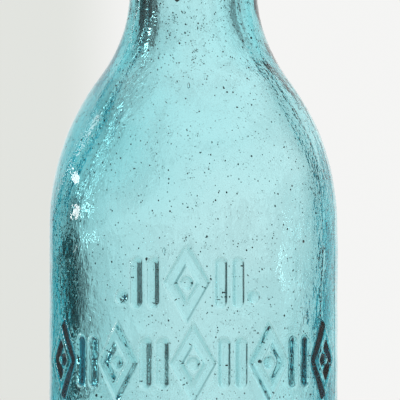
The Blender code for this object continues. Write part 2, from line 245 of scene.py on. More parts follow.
# Brightness of the room's walls by azimuth in degrees from straight behind the bottle, to the right positive: level
# with the bottle, over the top of the dark wall, and high up
LEVEL_LIGHT = [
    (-180, 0.66), (-130, 0.62), (-112, 0.54), (-96, 0.44), (-84, 0.28), (-72, 0.06), (-52, 0.03), (-33, 0.04),
    (-29, 0.16), (-25, 0.62), (-19, 0.88), (-10, 0.94), (0, 0.98), (10, 1.03), (22, 1.05), (30, 1.03), (37, 0.92),
    (46, 0.76), (54, 0.44), (66, 0.42), (74, 0.86), (84, 1.25), (96, 0.80), (110, 0.66),
]
UPPER_LIGHT = [
    (-180, 0.70), (-130, 0.68), (-104, 0.62), (-88, 0.52), (-72, 0.18), (-52, 0.18), (-42, 0.36), (-34, 0.62),
    (-20, 0.88), (-10, 0.95), (0, 0.98), (10, 1.03), (22, 1.06), (30, 1.04), (38, 0.92), (48, 0.72), (56, 0.34),
    (66, 0.26), (74, 0.80), (84, 1.15), (96, 0.80), (110, 0.70),
]
HIGH_LIGHT = [
    (-180, 0.74), (-130, 0.72), (-96, 0.66), (-76, 0.46), (-66, 0.20), (-56, 0.40), (-46, 0.78), (-32, 0.84),
    (-22, 0.90), (-12, 1.00), (0, 1.10), (12, 1.12), (24, 1.06), (34, 0.94), (46, 0.70), (56, 0.34), (66, 0.24),
    (84, 1.00), (96, 0.80), (110, 0.74),
]
LIGHT_PEAK = 1.3
DAYLIGHT_BLUE = 0.985

# Top of the dark wall at the left and in the middle, and the azimuths between which one becomes the other
DARK_TOP = (4.8 * DEG, -0.9 * DEG)
DARK_TURN = (-35 * DEG, -27 * DEG)
DARK_SOFT = 0.8 * DEG

# How far the level walls lean aside low down, and the rises in degrees over which the lean starts and ends
LEAN = -5 * DEG
LEAN_BELOW = (-2.0, -4.6)
LEAN_ABOVE = (-12.0, -7.0)

# Rises in degrees over which the high walls and the ceiling come in, and the ceiling's brightness
HIGH_RISE = (14, 18)
CEILING_RISE = (36, 46)
CEILING_LIGHT = 1.15

# Cloudy patches on the walls
PATCH_SCALE = 9.0
PATCH_RANGE = (0.42, 0.58)
PATCH_DEPTH = 0.14

# Lights at the left as azimuth of their middle, fades at the sides, the foot and the head in degrees, and brightness:
# two soft ones, and a slanting tube by (rise, azimuth) of its ends and bend
SOFT_LIGHTS = [(-71, (5.5, 4.5), (1.2, 2.0), (4.6, 3.8), 9.0), (-64, (5.5, 4.5), (10.3, 11.1), (13.5, 12.7), 9.0)]
TUBE = [(14, -53), (21, -61), (33, -65)]
TUBE_FADES = ((3.3, 1.1), (14, 16), (33, 29))
TUBE_LIGHT = 4.0

# Backdrop that the camera sees: two colours, and the azimuths in degrees over which the right one comes and goes
BACKDROP_LEFT = (0.76, 0.775, 0.74, 1)
BACKDROP_RIGHT = (0.91, 0.91, 0.90, 1)
BACKDROP_TURN = (-2.6, -1.0)
BACKDROP_FADE = (160, 50)

# Camera, at the photograph's distance and height
VIEW_DISTANCE = 700 * MM
VIEW_HEIGHT = 94.4 * MM
VIEW_ACROSS = 1.45 * MM
VIEW_WIDTH = 88.9 * MM


def arc(centre, radius, start, end, steps=24, rise=None):
    """Points (radius, height) along an arc, or along an ellipse whose upright half axis is rise."""
    turn = np.linspace(start, end, steps + 1)
    rise = radius if rise is None else rise
    return np.stack([centre[0] + radius * np.cos(turn), centre[1] + rise * np.sin(turn)], 1)


def ogee(body_radius, convex, concave, neck_radius, taper):
    """A shoulder's points: an arc that bulges from the wall, then one that hollows into the neck."""
    centre = (body_radius - convex, BODY_HEIGHT)
    across = neck_radius + concave * math.cos(taper) - centre[0]
    up = math.sqrt((convex + concave) ** 2 - across**2)
    turn = math.atan2(up, across)
    lower = arc(centre, convex, 0.0, turn, 48)
    upper = arc((centre[0] + across, centre[1] + up), concave, math.pi + turn, math.pi + taper, 32)
    return np.concatenate([lower, upper[1:]])


def resample(points, spacing):
    """Points at even steps of a polyline, about spacing apart."""
    steps = np.linalg.norm(np.diff(points, axis=0), axis=1)
    length = np.concatenate([[0.0], np.cumsum(steps)])
    count = max(2, int(round(length[-1] / spacing)) + 1)
    at = np.linspace(0.0, length[-1], count)
    return np.stack([np.interp(at, length, column) for column in points.T], 1)


SHOULDER = ogee(BODY_RADIUS, SHOULDER_ROUND, NECK_SWEEP, NECK_RADIUS, NECK_TAPER)
NECK_FOOT = SHOULDER[-1, 1]
BLOB_FOOT = NECK_FOOT + NECK_LENGTH
NECK_TOP_RADIUS = NECK_RADIUS - NECK_LENGTH * math.tan(NECK_TAPER)
BLOB_RADIUS = NECK_TOP_RADIUS + BLOB_OVERHANG
LIP_TOP = BLOB_FOOT + BLOB_HEIGHT
MOUTH_RIM = MOUTH_RADIUS + MOUTH_ROUND
LAND_RADIUS = MOUTH_RIM + LIP_LAND_SHARE * (BLOB_RADIUS - MOUTH_RIM)
OUTLINE = np.concatenate([[[BODY_RADIUS, 0.0]], SHOULDER, [[NECK_TOP_RADIUS, BLOB_FOOT]]])


def outer_radius(height):
    """Radius of the outside of the glass at a height up to the blob's foot."""
    return np.interp(height, OUTLINE[:, 1], OUTLINE[:, 0])


TIE_HEIGHT = BLOB_FOOT - TIE_DROP
TIE_RADIUS = outer_radius(TIE_HEIGHT) + GAP + TIE_WIRE_RADIUS
TIE_EYE_RADIUS = LEVER_WIRE_RADIUS + GAP + TIE_WIRE_RADIUS
PIVOT_HEIGHT = TIE_HEIGHT - TIE_EYE_RADIUS
LEVER_SIDE = BLOB_RADIUS + SIDE_CLEARANCE + LEVER_WIRE_RADIUS
TIE_EYE_SIDE = LEVER_SIDE - LEVER_WIRE_RADIUS - GAP - TIE_WIRE_RADIUS
LEVER_EYE_RADIUS = BAIL_WIRE_RADIUS + GAP + LEVER_WIRE_RADIUS
BAIL_SIDE = LEVER_SIDE + LEVER_WIRE_RADIUS + GAP + BAIL_WIRE_RADIUS
CRANK_BACK = LEVER_CRANK * math.sin(OVER_CENTRE)
CRANK_DOWN = LEVER_CRANK * math.cos(OVER_CENTRE)
BAR_RISE = STEM_RISE + CAP_THICKNESS + GAP + PLUG_FLANGE + GAP
BAR_ABOVE_CRANK = LIP_TOP + BAR_RISE - (PIVOT_HEIGHT - CRANK_DOWN)
BAIL_LENGTH = math.hypot(CRANK_BACK, BAR_ABOVE_CRANK)
BAIL_TILT = math.atan2(CRANK_BACK, BAR_ABOVE_CRANK)

HOLE = STEM_RADIUS + GAP
CAP_FOOT = -STEM_RISE - CAP_THICKNESS
FLANGE_TOP = CAP_FOOT - GAP
FLANGE_FOOT = FLANGE_TOP - PLUG_FLANGE
PLUG_FOOT = FLANGE_FOOT - PLUG_DEPTH
WASHER_TOP = PLUG_FOOT - GAP
WASHER_FOOT = WASHER_TOP - WASHER_THICKNESS


def glass_outline():
    """The glass's outline from under the base over the lip to the inner base, and which of its points lie inside.

    It is made of runs, each with the spacing of its points in millimetres.
    """
    under = BLOB_OVERHANG - BLOB_LEDGE
    inner = BODY_RADIUS - BODY_WALL
    heel = arc((BODY_RADIUS - HEEL_ROUND, HEEL_ROUND), HEEL_ROUND, -QUARTER, 0.0)
    ledge = arc((BLOB_RADIUS - under, BLOB_FOOT + under), under, -QUARTER, 0.0)
    crown = arc((LAND_RADIUS, LIP_TOP - BLOB_CROWN), BLOB_RADIUS - LAND_RADIUS, 0.0, QUARTER, rise=BLOB_CROWN)
    mouth = arc((MOUTH_RIM, LIP_TOP - MOUTH_ROUND), MOUTH_ROUND, QUARTER, math.pi)
    throat = [(MOUTH_RADIUS, LIP_TOP - MOUTH_ROUND), (THROAT_RADIUS, LIP_TOP - MOUTH_DEPTH)]
    inside = ogee(inner, SHOULDER_ROUND - BODY_WALL, INNER_SWEEP, NECK_RADIUS - NECK_WALL, NECK_TAPER)[::-1]
    inner_turn = (inner - INNER_HEEL_ROUND, BASE_THICKNESS + INNER_HEEL_ROUND)
    inner_heel = arc(inner_turn, INNER_HEEL_ROUND, 0.0, -QUARTER)
    outer_runs = [
        ([(0.0, 0.0), (BODY_RADIUS - HEEL_ROUND, 0.0)], 4.0),
        (heel, 1.2),
        ([(BODY_RADIUS, HEEL_ROUND), (BODY_RADIUS, RELIEF_FROM)], 2.4),
        ([(BODY_RADIUS, RELIEF_FROM), (BODY_RADIUS, RELIEF_TO)], 0.33),
        ([(BODY_RADIUS, RELIEF_TO), (BODY_RADIUS, BODY_HEIGHT)], 1.2),
        (SHOULDER, 1.5),
        ([(NECK_RADIUS, NECK_FOOT), (NECK_TOP_RADIUS, BLOB_FOOT)], 2.0),
        (ledge, 0.7),
        ([ledge[-1], crown[0]], 1.2),
        (crown, 0.9),
        ([crown[-1], mouth[0]], 0.7),
    ]
    inner_runs = [
        (mouth, 0.5),
        (throat, 2.0),
        ([throat[-1], inside[0]], 2.0),
        (inside, 2.2),
        ([(inner, BODY_HEIGHT), inner_heel[0]], 2.8),
        (inner_heel, 1.8),
        ([inner_heel[-1], (0.0, BASE_THICKNESS)], 3.0),
    ]
    points, insides = [], []
    for runs, side in ((outer_runs, 0.0), (inner_runs, 1.0)):
        for run, spacing in runs:
            even = resample(np.array(run), spacing * MM)[1 if points else 0 :]
            points.append(even)
            insides.append(np.full(len(even), side))
    return np.concatenate(points), np.concatenate(insides)


def around(split):
    """Angles of the columns, close together over the front and wider apart round the back, split further."""
    front = np.linspace(FRONT - FRONT_SPREAD, FRONT + FRONT_SPREAD, split * FRONT_COLUMNS, endpoint=False)
    back_end = FRONT + WHOLE - FRONT_SPREAD
    back = np.linspace(FRONT + FRONT_SPREAD, back_end, split * BACK_COLUMNS, endpoint=False)
    return np.concatenate([front, back])


def waves(angle, height, size, draw, turns, length):
    """Smooth uneven surface: a sum of random cosines, whole turns round and any length up, of size as its spread."""
    rng = np.random.default_rng(draw)
    total = np.zeros(np.broadcast(angle, height).shape)
    for _ in range(WAVE_COUNT):
        round_turns = rng.integers(-turns, turns + 1)
        up = rng.normal() * WHOLE / length
        total += np.cos(round_turns * angle + up * height + rng.uniform(0, WHOLE))
    return size * (total / math.sqrt(WAVE_COUNT / 2))


def smooth(edge0, edge1, value):
    """0 below the first edge, 1 above the second, and an S between."""
    share = np.clip((value - edge0) / (edge1 - edge0), 0.0, 1.0)
    return share * share * (3 - 2 * share)


def between(foot, head, height):
    """1 between two stretches of height and 0 beyond them, with an S over each."""
    return smooth(*foot, height) * (1 - smooth(*head, height))


def about_axis(radius, angle, height):
    """Points from their radius, angle and height about the upright axis."""
    spots = np.broadcast_arrays(radius * np.cos(angle), radius * np.sin(angle), height)
    return np.stack(spots, -1).reshape(-1, 3)


def raised(distance, half_width):
    """A ridge with a soft edge: 1 nearer to its middle line than half its width, 0 further out."""
    return 1 - smooth(half_width - RELIEF_EDGE, half_width + RELIEF_EDGE, distance)


def lozenge(across, up):
    """A lozenge's outline as a ridge: the distance to |across| / width + |up| / height = 1."""
    slope = math.hypot(1 / LOZENGE_HALF_WIDTH, 1 / LOZENGE_HALF_HEIGHT)
    reach = np.abs(across) / LOZENGE_HALF_WIDTH + np.abs(up) / LOZENGE_HALF_HEIGHT
    return raised(np.abs(reach - 1) / slope, STROKE / 2)


def bead(across, up):
    """A round bead."""
    return raised(np.hypot(across, up), BEAD_RADIUS)


def reel(across, up):
    """Two upright bars with round ends: the distance to a short upright line at each side."""
    beyond = np.maximum(np.abs(up) - REEL_HALF_HEIGHT + STROKE / 2, 0.0)
    return raised(np.hypot(np.abs(across) - REEL_HALF_GAP, beyond), STROKE / 2)


def ornament(across, height):
    """Relief of both bands: lozenges and reels by turns, and above them one lozenge, two reels and two beads."""
    low, high = height - LOWER_BAND, height - UPPER_BAND
    middle = across - UPPER_MIDDLE
    ridges = [lozenge(middle, high), bead(middle, high)]
    for side in (-1, 1):
        ridges.append(reel(middle - side * UPPER_REEL_REACH, high))
        ridges.append(bead(middle - side * UPPER_BEAD_REACH, high + REEL_HALF_HEIGHT - STROKE))
    for place in range(LOWER_COUNT):
        offset = across - (place - (LOWER_COUNT - 1) / 2) * LOWER_PITCH
        ridges += [lozenge(offset, low), bead(offset, low)]
        if place:
            ridges.append(reel(offset + LOWER_PITCH / 2, low))
    return RELIEF_HEIGHT * np.maximum.reduce(ridges)


def seams(angle, radius, height):
    """Two thin ridges down opposite sides: a bell curve of the distance round the wall, faded at both ends."""
    away = (angle - SEAM_ANGLE + QUARTER) % math.pi - QUARTER
    return SEAM_HEIGHT * np.exp(-((away * radius / SEAM_WIDTH) ** 2) * 2) * between(SEAM_FOOT, SEAM_HEAD, height)


def mesh_object(name, parts, finish):
    """An object at the origin from one or more shells, each an array of points and a list of faces."""
    points = np.concatenate([shell for shell, _ in parts])
    faces, start = [], 0
    for shell, shell_faces in parts:
        for kind in shell_faces:
            faces.extend((kind + start).tolist())
        start += len(shell)
    mesh = bpy.data.meshes.new(name)
    mesh.from_pydata(points.tolist(), [], faces)
    mesh.shade_smooth()
    mesh.materials.append(finish)
    made = bpy.data.objects.new(name, mesh)
    scene.collection.objects.link(made)
    return made


def neighbours(columns):
    """The numbers of the columns once round, and each one's next."""
    ring = np.arange(columns)
    return ring, (ring + 1) % columns


def grid(start, rows, columns, closed=False):
    """Faces of a grid of points that closes round, its first point at start; a closed one also closes end to end."""
    ring, ahead = neighbours(columns)
    row = np.arange(rows if closed else rows - 1)[:, None]
    low, high = start + row * columns, start + (row + 1) % rows * columns
    return np.stack([low + ring, low + ahead, high + ahead, high + ring], -1).reshape(-1, 4)


def fan(tip, start, columns):
    """Triangles from the point at tip to the ring of points at start."""
    ring, ahead = neighbours(columns)
    return np.stack([np.full_like(ring, tip), start + ahead, start + ring], -1)


def fans(last, columns):
    """Triangles from point 0 to the ring after it, and from the last point to the ring before it."""
    return [fan(0, 1, columns), fan(last, last - columns, columns)[:, ::-1]]


def capped_grid(rows, columns):
    """Faces of a grid that closes round, with a fan to its first and last point."""
    return [grid(1, rows, columns), *fans(1 + rows * columns, columns)]


def ring_join(coarse, fine, columns, split, turned_over):
    """Triangles between a ring and one with split times its columns: a fan at each coarse point, and one between."""
    ring, ahead = neighbours(columns)
    reach = np.arange(split // 2 - split, split // 2 + 1)
    near = fine + (split * ring + reach[:, None]) % (split * columns)
    joined = [np.stack([coarse + ring, coarse + ahead, near[-1]], -1)]
    for low, high in zip(near, near[1:]):
        joined.append(np.stack([coarse + ring, high, low], -1))
    faces = np.concatenate(joined)
    return faces[:, ::-1] if turned_over else faces


def by_height(table, height):
    """Lengths read off a table of (height, length) in millimetres, its corners rounded by a running mean."""
    at, length = np.array(table).T * MM
    spread = WALL_BLEND * np.sin(np.linspace(-QUARTER, QUARTER, 9))
    return sum(np.interp(height + reach, at, length) for reach in spread) / len(spread)


def uneven_wall(radius, height, angle):
    """How far the inner skin lies outside its even radius: the outer skin's radius less a wall of three waves round."""
    left, right, front = (by_height(table, height) for table in (WALL_LEFT, WALL_RIGHT, WALL_FRONT))
    side = (left + right) / 4
    wall = side + front / 2 + (right - left) / 2 * np.cos(angle) + (side - front / 2) * np.cos(2 * angle)
    wall = wall + by_height(EDGE_EXTRA, height) * ((1 + np.cos(angle)) / 2) ** EDGE_POWER
    return (outer_radius(height) - wall - radius) * between(EVEN_FOOT, EVEN_NECK, height)


def skin(outline, normal, inside, angle):
    """Points of the glass's skin: outline by angle, moved by waves, ornament and seams, and inside by the wall."""
    radius, height = outline[:, 0:1], outline[:, 1:2]
    share = inside[:, None]
    push = waves(angle, height, *OUTER_WAVE) * (1 - share) + waves(angle, height, *INNER_WAVE) * share
    push = push * smooth(*FLAT_MIDDLE, radius) * between(FLAT_FOOT, FLAT_NECK, height)
    push = push + (ornament((angle - FRONT) * BODY_RADIUS, height) + seams(angle, radius, height)) * (1 - share)
    across = radius + push * normal[:, 0:1] + uneven_wall(radius, height, angle) * share
    return about_axis(across, angle, height + push * normal[:, 1:2])


def rubbed(points):
    """Grain of the outer skin: a little all over, and more along a line up each side of the shoulder and neck."""
    x, y, height = points.T
    turn = np.arctan2(x, -y)
    middle = RUB_ANGLE + RUB_LEAN * np.clip(RUB_LEAN_BELOW - height, 0.0, RUB_LEAN_DEPTH)
    off = (np.abs(turn) - middle) / RUB_HALF_WIDTH
    strength = np.where(turn < 0, 1.0, RUB_RIGHT) * np.exp(-off * off) * between(RUB_FOOT, RUB_HEAD, height)
    return OUTER_GRAIN_SHARE + (RUB_SHARE - OUTER_GRAIN_SHARE) * strength


def make_glass(finish):
    """The vessel as one closed skin: rows of outline points by angles, with more columns over the ornament."""
    outline, inside = glass_outline()
    along = np.gradient(outline, axis=0)
    along /= np.hypot(*along.T)[:, None]
    normal = np.stack([along[:, 1], -along[:, 0]], 1)
    height = outline[:, 1]
    rows = np.flatnonzero((inside == 0) & (height > RELIEF_FROM + 0.1 * MM) & (height < RELIEF_TO - 0.1 * MM))
    columns = FRONT_COLUMNS + BACK_COLUMNS
    stretches = [(1, rows[0], 1), (rows[0], rows[-1] + 1, BAND_SPLIT), (rows[-1] + 1, len(outline) - 1, 1)]
    shells, shares, faces, starts = [[[0.0, 0.0, outline[0, 1]]]], [inside[:1]], [], []
    start = 1
    for first, last, split in stretches:
        part = slice(first, last)
        shells.append(skin(outline[part], normal[part], inside[part], around(split)))
        shares.append(np.repeat(inside[part], split * columns))
        faces.append(grid(start, last - first, split * columns))
        starts.append(start)
        start += len(shells[-1])
    points = np.concatenate([*shells, [[0.0, 0.0, outline[-1, 1]]]])
    faces.extend(fans(start, columns))
    faces.append(ring_join(starts[1] - columns, starts[1], columns, BAND_SPLIT, False))
    faces.append(ring_join(starts[2], starts[2] - BAND_SPLIT * columns, columns, BAND_SPLIT, True))
    made = mesh_object("bottle_glass", [(points, faces)], finish)
    grain = np.maximum(np.concatenate([*shares, inside[-1:]]), rubbed(points))
    made.data.attributes.new("grain_share", "FLOAT", "POINT").data.foreach_set("value", grain)
    return made


def ball(rows, columns):
    """Points of a unit ball: rings of latitude, each turned half a step from the last, between two poles."""
    latitude = np.linspace(-QUARTER, QUARTER, rows + 2)[1:-1, None]
    turn = WHOLE * (np.arange(columns) + 0.5 * np.arange(rows)[:, None]) / columns
    body = about_axis(np.cos(latitude), turn, np.sin(latitude))
    return np.concatenate([[[0, 0, -1.0]], body, [[0, 0, 1.0]]]), capped_grid(rows, columns)


def scatter(name, finish, draw, count, size, spread, lengths, detail):
    """Small ellipsoids at any angle, height and depth of the glass wall, as one mesh of moved and scaled balls."""
    rng = np.random.default_rng(draw)
    angle = rng.uniform(0.0, WHOLE, count)
    height = np.minimum(rng.uniform(*SEED_HEIGHTS, count), BLOB_FOOT)
    centres = about_axis(outer_radius(height) - rng.uniform(*SEED_DEPTHS, count), angle, height)
    widths = size * np.exp(spread * rng.normal(size=(count, 1)))
    sizes = widths * np.stack([np.ones(count), np.ones(count), rng.uniform(*lengths, count)], 1)
    unit, unit_faces = ball(*detail)
    points = (centres[:, None] + sizes[:, None] * unit).reshape(-1, 3)
    starts = len(unit) * np.arange(count)[:, None, None]
    faces = [(starts + kind).reshape(-1, kind.shape[1]) for kind in unit_faces]
    return mesh_object(name, [(points, faces)], finish)


def frames(path):
    """Unit vectors along a path and two across it, carried from point to point with the least turn."""
    along = np.gradient(path, axis=0)
    along /= np.linalg.norm(along, axis=1)[:, None]
    side = np.cross(along[0], ASKEW)
    sides = []
    for direction in along:
        side = side - direction * np.dot(side, direction)
        side = side / np.linalg.norm(side)
        sides.append(side)
    sides = np.array(sides)
    return along, sides, np.cross(along, sides)


def circle(count):
    """Angles at even steps, once round."""
    return WHOLE * np.arange(count) / count


def tube(path, radius, sides=20):
    """A round wire: circles square to a path, and low domes over its cut ends."""
    along, *across = frames(path)
    turn = np.linspace(QUARTER, 0.0, DOME_STEPS, endpoint=False)
    reach = DOME_SHARE * radius * np.sin(turn)[:, None]
    centres = np.concatenate([path[0] - along[0] * reach, path, path[-1] + along[-1] * reach[::-1]])
    wide = np.concatenate([np.cos(turn), np.ones(len(path)), np.cos(turn[::-1])]) * radius
    side, over = (np.pad(unit, ((DOME_STEPS, DOME_STEPS), (0, 0)), "edge")[:, None] for unit in across)
    angle = circle(sides)[:, None]
    points = centres[:, None] + wide[:, None, None] * (side * np.cos(angle) + over * np.sin(angle))
    rounds = points[1:-1].reshape(-1, 3)
    return np.concatenate([centres[:1], rounds, centres[-1:]]), capped_grid(len(centres) - 2, sides)


def torus(centre, major, minor, rows=72, columns=24):
    """A ring round the X axis: a circle carried round a circle."""
    turn, angle = circle(rows)[:, None], circle(columns)
    reach = major + minor * np.cos(angle)
    spots = np.broadcast_arrays(minor * np.sin(angle), reach * np.cos(turn), reach * np.sin(turn))
    return np.stack(spots, -1).reshape(-1, 3) + centre, [grid(0, rows, columns, closed=True)]


def rings(profile, columns):
    """Points of an outline of (radius, height) turned about the upright axis: a ring for each of its points."""
    return about_axis(profile[:, 0:1], circle(columns), profile[:, 1:2])


def turned(profile, columns=72):
    """A ring-shaped solid: a closed outline of (radius, height), clockwise, turned about the upright axis."""
    return rings(profile[::-1], columns), [grid(0, len(profile), columns, closed=True)]


def turned_solid(profile, columns):
    """A solid with two poles: an outline of (radius, height) from the lower pole to the upper one, turned."""
    low, high = [[0.0, 0.0, profile[0, 1]]], [[0.0, 0.0, profile[-1, 1]]]
    return np.concatenate([low, rings(profile[1:-1], columns), high]), capped_grid(len(profile) - 2, columns)


def rounded(corners, bends, steps=10):
    """Points along straight runs between corners, with each inner corner bent to its radius."""
    points = [corners[0]]
    for before, corner, after, bend in zip(corners, corners[1:], corners[2:], bends):
        back = (before - corner) / np.linalg.norm(before - corner)
        ahead = (after - corner) / np.linalg.norm(after - corner)
        half = math.acos(np.dot(back, ahead)) / 2
        middle = corner + (back + ahead) / np.linalg.norm(back + ahead) * bend / math.sin(half)
        first = corner + back * bend / math.tan(half) - middle
        last = corner + ahead * bend / math.tan(half) - middle
        sweep = math.pi - 2 * half
        share = np.linspace(0, 1, steps + 1)[:, None]
        points.extend(middle + (first * np.sin((1 - share) * sweep) + last * np.sin(share * sweep)) / math.sin(sweep))
    return np.array([*points, corners[-1]])


def both_sides(half, bends):
    """A wire's path that is alike on both sides of the YZ plane, at even steps."""
    half = np.array(half)
    corners = np.concatenate([half, half[::-1] * np.array([-1.0, 1.0, 1.0])])
    return resample(rounded(corners, bends + bends[::-1]), WIRE_STEP)


def settled(path, spacing, spread):
    """A path with its kinks eased: even steps, each averaged with its neighbours by a bell curve."""
    even = resample(path, spacing)
    reach = int(3 * spread / spacing)
    weight = np.exp(-((np.arange(-reach, reach + 1) * spacing / spread) ** 2) / 2)
    weight /= weight.sum()
    before = 2 * even[0] - even[reach:0:-1]
    after = 2 * even[-1] - even[-2 : -reach - 2 : -1]
    padded = np.concatenate([before, even, after])
    return np.stack([np.convolve(column, weight, "valid") for column in padded.T], 1)


def hung(shells, angle, joint):
    """Shells drawn about a joint, turned about X to the way they stand at rest and carried to its place."""
    place = next(entry for entry in frame["joints"] if entry["name"] == joint)["pos_m"]
    cos, sin = math.cos(angle), math.sin(angle)
    turn = np.array([[1.0, 0.0, 0.0], [0.0, cos, sin], [0.0, -sin, cos]])
    return [(points @ turn + place, faces) for points, faces in shells]


def neck_run(start, end):
    """The tie wire's path round the neck, which swells out towards each eye."""
    turn = np.linspace(start, end, 160)
    away = np.minimum(np.abs(turn), np.abs(np.abs(turn) - math.pi))
    swell = (1 - smooth(0.0, EYE_SWELL, away)) * (TIE_EYE_SIDE - EYE_PITCH / 2 - TIE_RADIUS)
    return about_axis(TIE_RADIUS + swell, turn, TIE_HEIGHT)


def side_eye(side):
    """One turn of the tie wire round the lever's pin, a wire's width further out at its end."""
    turn = np.linspace(0.0, WHOLE, 40)
    across = TIE_EYE_SIDE - EYE_PITCH / 2 + EYE_PITCH * (turn / WHOLE - 0.5)
    up = PIVOT_HEIGHT + TIE_EYE_RADIUS * np.cos(turn)
    return np.stack([side * across, side * TIE_EYE_RADIUS * np.sin(turn), up], 1)


def twisted_tail(phase):
    """One of the two wire ends that are twisted together: a helix along a line that leaves the neck."""
    origin = about_axis(TIE_RADIUS, TAIL_FROM, TIE_HEIGHT)
    along = about_axis(1.0, TAIL_FROM + QUARTER - TAIL_FLARE, 0.0)
    up = np.array([0.0, 0.0, 1.0])
    share = np.linspace(0.0, 1.0, 80)[:, None]
    turn = phase + WHOLE * TAIL_TWISTS * share
    twist = np.cross(along, up) * np.cos(turn) + up * np.sin(turn)
    return origin + along * TAIL_LENGTH * share + twist * TIE_WIRE_RADIUS * TAIL_LAY_SHARE


def make_tie_wire(finish):
    """The soft wire in one length: a tail, round the neck with an eye at each side, and the other tail."""
    room = EYE_SWELL / 6
    runs = [
        twisted_tail(0.0)[::-1],
        neck_run(TIE_FROM, -room),
        side_eye(1),
        neck_run(room, math.pi - room),
        side_eye(-1),
        neck_run(math.pi + room, TIE_TO),
        twisted_tail(math.pi),
    ]
    path = settled(np.concatenate(runs), TIE_STEP, TIE_EASE)
    return mesh_object("tie_wire_bound", [tube(path, TIE_WIRE_RADIUS, 16)], finish)


def make_lever(finish):
    """Bent spring wire: pins, crank, an eye each side for the bail, and a thumb bar."""
    handle_front = -(outer_radius(PIVOT_HEIGHT - HANDLE_DROP) + LEVER_WIRE_RADIUS + HANDLE_CLEARANCE)
    half = [
        (TIE_EYE_SIDE - TIE_WIRE_RADIUS - PIN_OVERHANG, 0.0, 0.0),
        (LEVER_SIDE, 0.0, 0.0),
        (LEVER_SIDE, CRANK_BACK - LEVER_EYE_RADIUS, -CRANK_DOWN),
        (HANDLE_HALF_WIDTH + HANDLE_SPREAD, handle_front, -HANDLE_DROP),
        (HANDLE_HALF_WIDTH, handle_front - THUMB_KICK, -HANDLE_DROP - THUMB_DROP),
    ]
    shells = [tube(both_sides(half, [WIRE_BEND, WIRE_BEND, HANDLE_BEND, WIRE_BEND]), LEVER_WIRE_RADIUS)]
    for side in (-1, 1):
        shells.append(torus((side * LEVER_SIDE, CRANK_BACK, -CRANK_DOWN), LEVER_EYE_RADIUS, LEVER_WIRE_RADIUS))
    return mesh_object("lever_wire", hung(shells, -LEVER_OPEN, "lever_hinge"), finish)


def make_bail(finish):
    """Bent spring wire: pins in the lever's eyes, legs that pass the blob, and a bar over the stopper."""
    half = [
        (LEVER_SIDE - LEVER_WIRE_RADIUS - PIN_OVERHANG, 0.0, 0.0),
        (BAIL_SIDE, 0.0, 0.0),
        (BAIL_SIDE, 0.0, BAIL_LENGTH - BAR_RISE),
        (CAP_RADIUS + BAIL_SIDE_ROOM, 0.0, BAIL_LENGTH),
    ]
    shells = [tube(both_sides(half, [WIRE_BEND, BAIL_LEG_BEND, BAIL_CROWN_BEND]), BAIL_WIRE_RADIUS)]
    return mesh_object("bail_wire", hung(shells, BAIL_TILT - BAIL_LEAN, "bail_hinge"), finish)


def soft_corners(corners, bends, spacing):
    """A closed outline of (radius, height) with every corner rounded, at even steps."""
    ring = [np.array([*corner, 0.0]) for corner in corners]
    looped = [(ring[-1] + ring[0]) / 2] + ring + [(ring[-1] + ring[0]) / 2]
    return resample(rounded(looped, bends, 5)[:, :2], spacing)[:-1]


def dip(value, middle, depth, width):
    """A groove across a surface: a bell curve about its middle."""
    return depth * np.exp(-(((value - middle) / width) ** 2))


def stopper_piece(name, shells, finish):
    """A piece of the stopper from shells drawn about the bail's bar."""
    return mesh_object(name, hung(shells, 0.0, "stopper_swing"), finish)


def make_cap(finish):
    """Domed metal cap: a boss, a long low curve and a rolled edge with a groove inside it."""
    rise = CAP_THICKNESS - CAP_EDGE
    share = np.linspace(0.0, 1.0, 40)
    radius = CAP_BOSS_RADIUS + (CAP_RADIUS - CAP_BOSS_RADIUS) * share
    height = CAP_FOOT + CAP_EDGE + rise * np.sqrt(np.clip(1 - share**2, 0, 1))
    for groove in CAP_GROOVES:
        height = height - dip(radius, *groove)
    dome = np.stack([radius, height], 1)
    top = [(HOLE, -STEM_RISE - CAP_HOLE_BEVEL), (HOLE + CAP_HOLE_BEVEL, -STEM_RISE)]
    edge = arc((CAP_RADIUS - CAP_EDGE_ROUND, CAP_FOOT + CAP_EDGE_ROUND), CAP_EDGE_ROUND, 0.0, -QUARTER, 6)
    foot = [(0.7 * CAP_RADIUS, CAP_FOOT), (0.4 * CAP_RADIUS, CAP_FOOT), (HOLE, CAP_FOOT)]
    profile = np.concatenate([top, dome, edge, foot])
    return stopper_piece("stopper_cap_pressed", [turned(profile, 96)], finish)


def make_plug(finish):
    """Moulded rubber plug: a flange, then a seat that narrows, every edge soft, with two fine moulded rings."""
    seat = MOUTH_RADIUS - PLUG_SEAT_CLEARANCE
    flange = [(HOLE, FLANGE_TOP), (PLUG_FLANGE_RADIUS, FLANGE_TOP), (PLUG_FLANGE_RADIUS, FLANGE_FOOT)]
    corners = [*flange, (seat, FLANGE_FOOT), (seat - PLUG_TAPER, PLUG_FOOT), (HOLE, PLUG_FOOT)]
    bends = [0.25 * MM, 0.35 * MM, PLUG_EDGE_ROUND, 0.3 * MM, PLUG_EDGE_ROUND, 0.25 * MM]
    profile = soft_corners(corners, bends, 0.16 * MM)
    for share in PLUG_RING_SHARES:
        outer = smooth(PLUG_FLANGE_RADIUS - 0.5 * MM, PLUG_FLANGE_RADIUS, profile[:, 0])
        at = FLANGE_TOP - share * PLUG_FLANGE
        profile[:, 0] -= outer * dip(profile[:, 1], at, *PLUG_RING)
    return stopper_piece("rubber_plug_moulded", [turned(profile, 96)], finish)


def make_washer(finish):
    """Stamped washer with worn edges."""
    corners = [(HOLE, WASHER_TOP), (WASHER_RADIUS, WASHER_TOP), (WASHER_RADIUS, WASHER_FOOT), (HOLE, WASHER_FOOT)]
    profile = soft_corners(corners, [0.12 * MM, 0.2 * MM, 0.2 * MM, 0.12 * MM], 0.09 * MM)
    return stopper_piece("foot_washer_stamped", [turned(profile)], finish)


